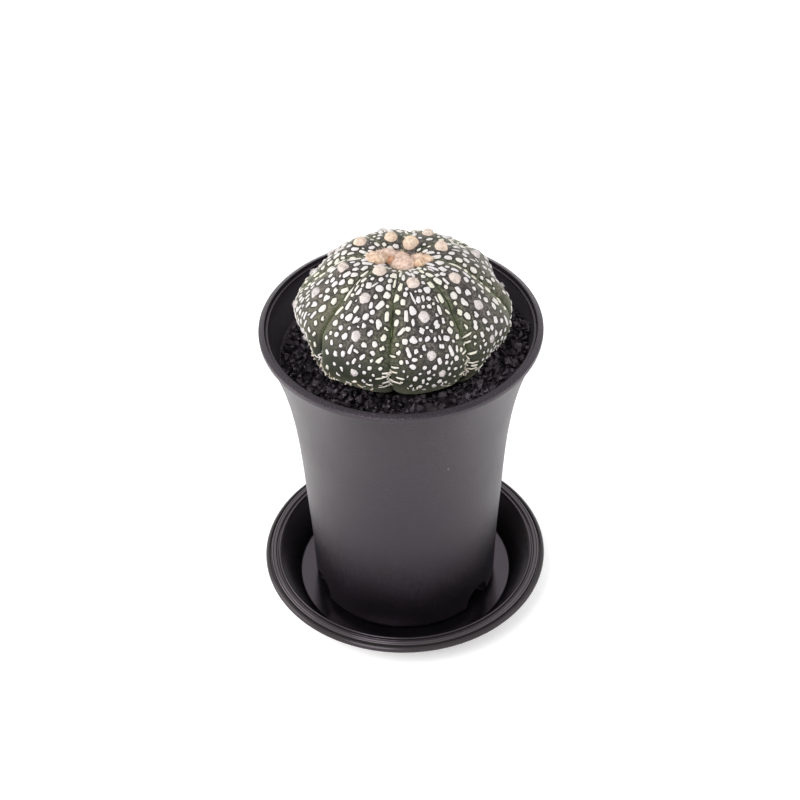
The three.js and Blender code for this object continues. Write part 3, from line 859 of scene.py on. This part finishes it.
def patch_outline(form, width, length, angles, random):
    """Sideways and lengthways reach of a fleck's edge at each angle, a little uneven."""
    uneven = 0.03 if form == "pad" else 0.05
    reach = 1 + sum(random.normal(0, uneven) * np.cos(k * angles + random.uniform(0, 6.28))
                    for k in (2, 3, 4, 5))
    if form == "cluster":
        # Two or three grown-together discs, each of which covers the middle
        blobs = []
        first = random.uniform(0, 2 * np.pi)
        for k in range(random.integers(2, 4)):
            off, size = random.uniform(0.4, 0.52), random.uniform(0.54, 0.66)
            toward = off * np.cos(angles - first - k * random.uniform(1.7, 2.9))
            blobs.append(toward + np.sqrt(size ** 2 - off ** 2 + toward ** 2))
        reach = reach * np.max(blobs, axis=0)
    if form == "pointed_pad":
        # A short point up or down the rib
        pointed = random.choice([90, -90]) + random.normal(0, 20)
        reach = reach + 0.22 * hump(half_turns(np.degrees(angles) - pointed), 0, 26)
    power = 0.7 if form in ("stroke", "bar") else 0.92
    x, y = [np.sign(v) * np.abs(v) ** power for v in (np.cos(angles), np.sin(angles))]
    return width / 2 * x * reach, length / 2 * y * reach


def felt_patch(distance, azimuth, width, length, turn, form, rise, rings, sides, random):
    """A low uneven cushion that follows the skin, closed underneath, and how far down it each point is."""
    angles = np.arange(sides) / sides * 2 * np.pi
    edge_x, edge_y = patch_outline(form, width, length, angles, random)
    shares = np.linspace(0, 1, rings + 1)[1:] ** 0.75
    c, s = math.cos(math.radians(turn)), math.sin(math.radians(turn))
    dx = np.pad(np.outer(shares, edge_x * c - edge_y * s).reshape(-1), 1)
    ds = np.pad(np.outer(shares, edge_x * s + edge_y * c).reshape(-1), 1)
    share = np.pad(np.repeat(shares, sides), 1)
    grain = noise_at(np.stack([dx, ds, 0 * dx], axis=-1), 0.7, random.uniform(0, 50))
    height = rise * (1 - share ** 3) * (1 + 0.13 * grain) - 0.14 * share ** 6
    height[-1] = -0.3
    points, _ = skin_at(distance + ds, azimuth + turn_across(distance, dx), height)
    under = rings * sides + 1
    faces = closed_faces(np.arange(1, under).reshape(rings, sides), 0, under)
    return placed(points), faces, ds / length


def make_flecks(material, flecks, random):
    parts, tints = [], []
    for distance, azimuth, width, length, turn, form in flecks:
        rise = FLECK_RISE * random.uniform(0.8, 1.2)
        points, faces, _ = felt_patch(distance, azimuth, width, length, turn, form, rise, 4, 16, random)
        parts.append((points, faces))
        greenish = 0.15 + 0.7 * smoothstep(0.4, 0.9, abs(off_ridge(azimuth)))
        tints.append(np.clip(greenish + random.normal(0, 0.14), 0, 1))
    tinted_piece("felt_flecks", parts, tints, material)


# Strands of plant hair

def strands(roots, directions, lengths, width, random, segments):
    """Thin curled hairs, each a closed three-sided tube that tapers to its tip."""
    parts = []
    for root, direction, length in zip(roots, directions, lengths):
        forward = normalised(direction)
        side = normalised(np.cross(forward, random.normal(size=3)))
        other = np.cross(forward, side)
        bend = random.uniform(-HAIR_CURL, HAIR_CURL, size=2)
        phase = random.uniform(0, 6.28)
        points = []
        for i in range(segments + 1):
            t = i / segments
            wave = 0.18 * HAIR_CURL * length * math.sin(phase + 5 * t) * t
            centre = root + forward * length * t + side * (bend[0] * length * t * t + wave)
            centre = centre + other * bend[1] * length * t * t
            thick = width / 2 * (1 - 0.75 * t)
            for k in range(3):
                angle = k * 2 * math.pi / 3
                points.append(centre + thick * (side * math.cos(angle) + other * math.sin(angle)))
        parts.append((points, tube_faces(segments + 1, 3)))
    return parts


def felt_hair(roots, lying, out, tint, kind, random):
    """Hairs of a kind that lie along the felt, from roots in the body's frame, and the tint of each."""
    lifts, lengths, width, spread, segments = kind
    count = len(roots)
    directions = normalised(lying) + out * random.uniform(*lifts, (count, 1))
    lengths = random.uniform(*lengths, count)
    hairs = strands(placed(roots), directions @ PLANT_TURN.T, lengths, width, random, segments)
    return hairs, np.clip(tint + random.normal(0, spread, count), 0, 1)


def make_areoles(material, areoles, random):
    """Felt pads: an uneven cushion with short matted hairs all over it, warmer on its lower side."""
    pads, pad_tints, hairs, hair_tints = [], [], [], []
    for distance, azimuth, width in areoles:
        length = width * random.uniform(0.92, 1.08)
        young = 1 - smoothstep(10, 24, distance)
        rise = AREOLE_RISE * width / 3.9 * (1 + 0.6 * young)
        behind = 0.5 - 0.5 * math.cos(math.radians(azimuth))
        warmth = 0.3 * (1 - smoothstep(12, 32, distance)) + 0.3 * young * behind
        warmth += random.uniform(-0.05, 0.05)
        form = "pad" if distance < 20 else "pointed_pad"
        points, faces, lower = felt_patch(distance, azimuth, width, length, 0, form, rise, 8, 28, random)
        pads.append((points, faces))
        warmer_below = 0.6 * young * behind * lower.clip(0)
        pad_tints.append(warmth + warmer_below + 0.1 * noise_at(points, 0.5, distance))
        share = 0.86 * np.sqrt(random.uniform(0, 1, AREOLE_STRANDS))
        angle = random.uniform(0, 2 * np.pi, AREOLE_STRANDS)
        dx, ds = width / 2 * share * np.cos(angle), length / 2 * share * np.sin(angle)
        roots, (down, across, out) = skin_at(
            distance + ds, azimuth + turn_across(distance, dx), rise * (1 - share ** 3) - 0.05)
        lying = across * random.normal(size=(AREOLE_STRANDS, 1))
        lying = lying + down * random.normal(size=(AREOLE_STRANDS, 1))
        grown, grown_tints = felt_hair(roots, lying, out, warmth, AREOLE_HAIR, random)
        hairs += grown
        hair_tints.extend(grown_tints)
    tinted_piece("areole_pads", pads, pad_tints, material)
    tinted_piece("areole_hair", hairs, hair_tints, material)


def make_wool(material, random):
    """Matted wool in the hollow of the crown: a few tufts under a layer of short curled strands."""
    parts, tints, hairs, hair_tints = [], [], [], []
    share = WOOL_STRANDS / sum(size[0] * size[1] for _, size, _ in WOOL_TUFTS)
    ball = bmesh.new()
    bmesh.ops.create_icosphere(ball, subdivisions=4, radius=0.5)
    unit = np.array([v.co for v in ball.verts]) * 2
    faces = [tuple(v.index for v in f.verts) for f in ball.faces]
    ball.free()
    for (x, y), size, warmth in WOOL_TUFTS:
        height = along_meridian(MERIDIAN, math.hypot(x, y))[1]
        points = unit * size / 2 + (x, y, height)
        lumps = 0.4 * noise_at(points, 1.9, 5.5) + 0.3 * noise_at(points, 0.75, 1.5)
        points = points + unit * lumps[:, None]
        # Random mottling, and painted shade: warmer and darker low on the front of each tuft
        tuft_mottle_and_shade = 0.2 * noise_at(points, 1.1, 7.7) + 0.2 * (-unit[:, 1] - unit[:, 2]).clip(0)
        tint = np.clip(warmth + tuft_mottle_and_shade, 0, 1)
        parts.append((placed(points), faces))
        tints.append(tint)
        count = int(share * size[0] * size[1])
        chosen = random.choice(np.flatnonzero(unit[:, 2] > -0.1), count)
        out = unit[chosen]
        lying = np.cross(out, random.normal(size=(count, 3)))
        grown, grown_tints = felt_hair(points[chosen], lying, out, tint[chosen], WOOL_HAIR, random)
        hairs += grown
        hair_tints.extend(grown_tints)
    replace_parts(tinted_piece("wool_mat", parts, tints, material), "crown_wool")
    tinted_piece("wool_strands", hairs, hair_tints, material)


def flake_from(distance, azimuth, slope, turn, rises, width, random, bend=0.5):
    """A flat dry scale from a place on the skin to one that far down and round. Bend shifts its middle."""
    points, _ = skin_at(distance + slope * np.array([0, 0.5, 1]), azimuth + turn * np.array([0, bend, 1]),
                        np.array(rises))
    sections = []
    for i, point in enumerate(points):
        along = points[min(i + 1, len(points) - 1)] - points[max(i - 1, 0)]
        side = normalised(np.cross(along, point - (0, 0, 5))) * width / 2 * random.uniform(0.5, 1.1)
        lift = normalised(np.cross(along, side)) * width / 5
        sections.append([point + side, point + lift, point - side, point - lift])
    return placed(np.concatenate(sections)), tube_faces(len(points), 4)


def make_furrow_flakes(material, random):
    """Scales left by dead pads: a zigzag down each furrow to the grit, twigs off it, and debris below."""
    flakes, tints = [], []
    for rib in range(RIB_COUNT):
        warmth = random.choice([0.05, 0.15, 0.35])
        distance, side = random.uniform(*FLAKE_START), 1
        azimuth = FIRST_RIB_AZIMUTH + RIB_PITCH * (rib + 0.5)
        while distance < FLAKE_END:
            turn = side * random.uniform(0.8, 2.6)
            step = random.uniform(0.7, 1.7)
            rises = [0.1, random.uniform(0.2, 0.5), 0.1]
            width = random.uniform(0.4, 0.8)
            flakes.append(flake_from(distance, azimuth, step, turn, rises, width, random, bend=0.6))
            if random.random() < 0.5:
                twig_turn = side * random.uniform(3.5, 8)
                slope = random.uniform(-0.7, 0.4)
                rises, width = [0.1, 0.25, 0.15], random.uniform(0.6, 1.05)
                flakes.append(flake_from(distance, azimuth, slope, twig_turn, rises, width, random))
                tints.append(warmth)
            tints.append(np.clip(warmth + random.normal(0, 0.1), 0, 1))
            distance, azimuth, side = distance + step, azimuth + turn - side * 0.7, -side
    for i in range(FLAKE_DEBRIS):
        azimuth = random.uniform(-80, 100) if i % 2 else random.uniform(-64, -26)
        distance = random.uniform(*DEBRIS_RING)
        turn, slope = random.normal(0, 2), random.normal(0, 0.8)
        rises = [0.05, 0.4, random.uniform(0.1, 0.8)]
        flakes.append(flake_from(distance, azimuth, slope, turn, rises, random.uniform(0.4, 1.0), random))
        tints.append(np.clip(random.normal(0.5 if azimuth < -15 else 0.35, 0.2), 0, 1))
    tinted_piece("furrow_flakes", flakes, tints, material)


# Grit

def soil_height(x, y):
    """Level of the grit: uneven, a little higher on the right, and heaped against the plant there."""
    radius = np.hypot(x - PLANT_CENTRE[0], y - PLANT_CENTRE[1])
    azimuth = np.arctan2(x, -y) - math.radians(HEAP_AZIMUTH)
    near = 1 - smoothstep(HEAP_FROM, HEAP_FROM + HEAP_REACH, radius)
    heap = SOIL_HEAP * near * smoothstep(-0.1, 0.8, np.cos(azimuth))
    mound = MOUND_RISE * np.exp(-((x - MOUND_X) ** 2 + (y - MOUND_Y) ** 2) / MOUND_REACH ** 2)
    swell = np.array([noise.noise(Vector((a / 11, b / 11, 4.2))) for a, b in zip(x, y)])
    return SOIL_LEVEL + SOIL_TILT * x + SOIL_SWELL * swell + heap + mound


def make_soil_fill(material):
    """The fill under the loose granules, down to the pot's floor, with a hollow for the plant."""
    segments = 96
    azimuths = np.arange(segments) * 360 / segments
    wall_gap = POT_WALL + SOIL_GAP
    floor_radius = pot_radius(POT_FLOOR) - wall_gap - 1.8
    heights = np.linspace(POT_FLOOR + 2, SOIL_LEVEL - 2, 20)
    rings = [around(azimuths, floor_radius, POT_FLOOR)]
    rings += [around(azimuths, pot_radius(h) - wall_gap, h) for h in heights]
    rim = pot_radius(SOIL_LEVEL - 1) - wall_gap
    for radius in np.arange(rim, 21, -1.2):
        ring = around(azimuths, radius, 0)
        ring[:, 2] = soil_height(ring[:, 0], ring[:, 1]) - FILL_BELOW + 0.4 * noise_at(ring, 1.5, 2.0)
        rings.append(ring)
    for radius, height in ROOT_HOLE:
        rings.append(placed(around(azimuths, radius, height)))
    count = len(rings) * segments
    faces = closed_faces(np.arange(count).reshape(-1, segments), count, count + 1)
    points = np.vstack([*rings, (0, 0, POT_FLOOR), placed((0, 0, ROOT_HOLE[-1][1]))])
    fill = mesh_object("grit_fill", points, faces, material, "grit")
    set_attributes(fill, tint=np.full(count + 2, 0.1))
    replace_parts(fill, "soil")


def granule_shapes(random):
    """Angular stones about one unit across, each the hull of a few random corners."""
    shapes = []
    for _ in range(GRANULE_SHAPES):
        corners = normalised(random.normal(size=(GRANULE_CORNERS, 3)))
        corners *= random.uniform(0.4, 0.58, size=(GRANULE_CORNERS, 1)) * random.uniform(0.7, 1.15, size=3)
        hull = bmesh.new()
        for corner in corners:
            hull.verts.new(corner)
        made = bmesh.ops.convex_hull(hull, input=hull.verts)
        unused = made["geom_interior"] + made["geom_unused"]
        loose = {v for v in unused if isinstance(v, bmesh.types.BMVert)}
        bmesh.ops.delete(hull, geom=list(loose), context="VERTS")
        hull.verts.index_update()
        faces = [tuple(v.index for v in f.verts) for f in hull.faces]
        shapes.append((np.array([v.co for v in hull.verts]), faces))
        hull.free()
    return shapes


def body_radius(height):
    """Radius of the plant's underside at a height in the body's frame."""
    lower = MERIDIAN[np.argmax(MERIDIAN[:, 0]):]
    return np.interp(height, lower[::-1, 1], lower[::-1, 0], left=0, right=WIDEST)


def make_granules(material, random):
    """Loose granules in the top of the grit, the large ones placed first."""
    shapes = granule_shapes(random)
    low, high = GRANULE_SIZES
    sizes = np.sort(low + (high - low) * random.beta(1.7, 3.2, GRANULE_TRIES))[::-1]
    parts, tints = [], []
    kept = np.zeros((GRANULE_TRIES, 4))
    for size in sizes:
        radius = math.sqrt(random.uniform(GRANULE_RING[0] ** 2, GRANULE_RING[1] ** 2))
        angle = random.uniform(0, 2 * math.pi)
        x, y = radius * math.cos(angle), radius * math.sin(angle)
        level = soil_height(np.array([x]), np.array([y]))[0]
        z = level - 0.25 * size - random.uniform(0, GRANULE_DEPTH)
        if radius > pot_radius(z) - POT_WALL - 0.38 * size:
            continue
        local = (np.array([x, y, z]) - PLANT_CENTRE) @ PLANT_TURN
        if math.hypot(local[0], local[1]) < body_radius(local[2] + 0.3 * size) + 0.36 * size:
            continue
        count = len(parts)
        gaps = np.linalg.norm(kept[:count, :3] - (x, y, z), axis=1) - 0.35 * (kept[:count, 3] + size)
        if count and gaps.min() < 0:
            continue
        kept[count] = x, y, z, size
        points, faces = shapes[random.integers(len(shapes))]
        turn = np.array(Quaternion(random.normal(size=4)).normalized().to_matrix())
        parts.append((points @ turn.T * size + (x, y, z), faces))
        tints.append(random.beta(1.6, 3))
    tinted_piece("grit_granules", parts, tints, material, "grit", 18)


# Stage, lights and camera

def make_stage():
    material, tree = new_material("pale_floor", Roughness=0.9, Specular_IOR_Level=0.1,
                                  Emission_Color=(1, 1, 1, 1), Emission_Strength=0.3)
    shade = ramp(noise_of(tree, 160, 2), [(0.3, (0.9, 0.9, 0.9)), (0.7, (0.93, 0.93, 0.93))])
    tree.links.new(shade, shader_socket(tree, "Base Color"))
    half = 3000
    corners = [(-half, -half, 0), (half, -half, 0), (half, half, 0), (-half, half, 0)]
    floor = mesh_object("floor", corners, [(0, 1, 2, 3)], material)


def area_light(name, place, target, size, power, colour=(1, 1, 1)):
    light = bpy.data.lights.new(name, "AREA")
    light.shape = "DISK"
    light.size = size * MM
    light.energy = power
    light.color = colour
    lamp = added_object(name, light)
    lamp.location = Vector(place) * MM
    lamp.rotation_euler = (Vector(target) - Vector(place)).to_track_quat("-Z", "Y").to_euler()


def make_lights():
    world = bpy.data.worlds.new("soft_surround")
    world.use_nodes = True
    tree = world.node_tree
    direction = add_node(tree, "TexCoord").outputs["Generated"]
    height = add_node(tree, "SeparateXYZ", {0: direction}).outputs["Z"]
    shade = ramp(height, [(0.65, (1, 1, 1)), (0.98, (0.5, 0.5, 0.52))])
    background = tree.nodes["Background"]
    tree.links.new(shade, background.inputs["Color"])
    background.inputs["Strength"].default_value = 1.2
    bpy.context.scene.world = world
    middle = (0, 0, 80)
    area_light("key", (-330, -560, 860), middle, 460, 5)
    area_light("left", (-900, 60, 380), middle, 700, 5, (1, 0.95, 0.9))
    area_light("right", (900, -60, 380), middle, 700, 1.4, (1, 0.95, 0.9))


def make_camera():
    """The photo's view: from the front, tilted down to a point near the pot's axis, and rolled a little."""
    camera = bpy.data.cameras.new("camera")
    camera.sensor_width = SENSOR_WIDTH
    camera.lens = FOCAL_PIXELS * SENSOR_WIDTH / IMAGE_WIDTH
    camera.clip_start = 0.01
    camera.clip_end = 20
    holder = added_object("camera", camera)
    target = Matrix.Translation(Vector(CAMERA_TARGET) * MM)
    tilt = Matrix.Rotation(math.radians(90 - CAMERA_ELEVATION), 4, "X")
    roll = Matrix.Rotation(math.radians(CAMERA_ROLL), 4, "Z")
    back = Matrix.Translation((0, 0, CAMERA_DISTANCE * MM))
    holder.matrix_world = target @ tilt @ roll @ back
    bpy.context.scene.camera = holder


def main():
    make_camera()
    make_lights()
    make_stage()
    bpy.context.scene.view_settings.view_transform = "Standard"

    make_saucer(plastic(
        "saucer_plastic", body=[(0.0025, 0.0022, 0.003), (0.0045, 0.004, 0.005)], gloss=(0.16, 0.24),
        grain_depth=0.01, speckle=0.1, dust=9, worn=(0.034, 0.031, 0.032)))
    make_pot(plastic(
        "pot_plastic", body=[(0.003, 0.0025, 0.0035), (0.005, 0.004, 0.006)], gloss=(0.34, 0.44),
        grain_depth=0.12, speckle=0.34, dust=8, worn=(0.055, 0.05, 0.058)))

    grit = grit_material()
    make_soil_fill(grit)
    make_granules(grit, np.random.default_rng(21))

    areoles = areole_places()
    random = np.random.default_rng(8)
    flecks = place_flecks(areoles, random)
    make_skin(skin_material(), flecks, areoles)
    white_felt = felt_material("white_felt", [
        (0, (0.6, 0.575, 0.595)), (0.5, (0.62, 0.6, 0.57)), (1, (0.64, 0.63, 0.52)),
    ], fuzz=0.3)
    make_flecks(white_felt, flecks, random)
    cream_felt = felt_material("cream_felt", [
        (0, (0.55, 0.52, 0.52)), (0.25, (0.59, 0.52, 0.48)), (0.6, (0.67, 0.54, 0.42)),
        (1, (0.7, 0.5, 0.27)),
    ], fuzz=0.6)
    make_areoles(cream_felt, areoles, random)
    peach_wool = felt_material("peach_wool", [
        (0, (0.69, 0.55, 0.48)), (0.3, (0.7, 0.56, 0.43)), (0.6, (0.62, 0.46, 0.3)),
        (1, (0.46, 0.17, 0.08)),
    ], fuzz=0.6, felt_patches_and_shade=(0.88, 0.66, 0.54))
    make_wool(peach_wool, np.random.default_rng(31))
    dry_scale = felt_material("dry_scale", [
        (0, (0.72, 0.7, 0.68)), (0.5, (0.72, 0.64, 0.54)), (1, (0.62, 0.42, 0.28)),
    ], fuzz=0.4)
    make_furrow_flakes(dry_scale, np.random.default_rng(44))


main()
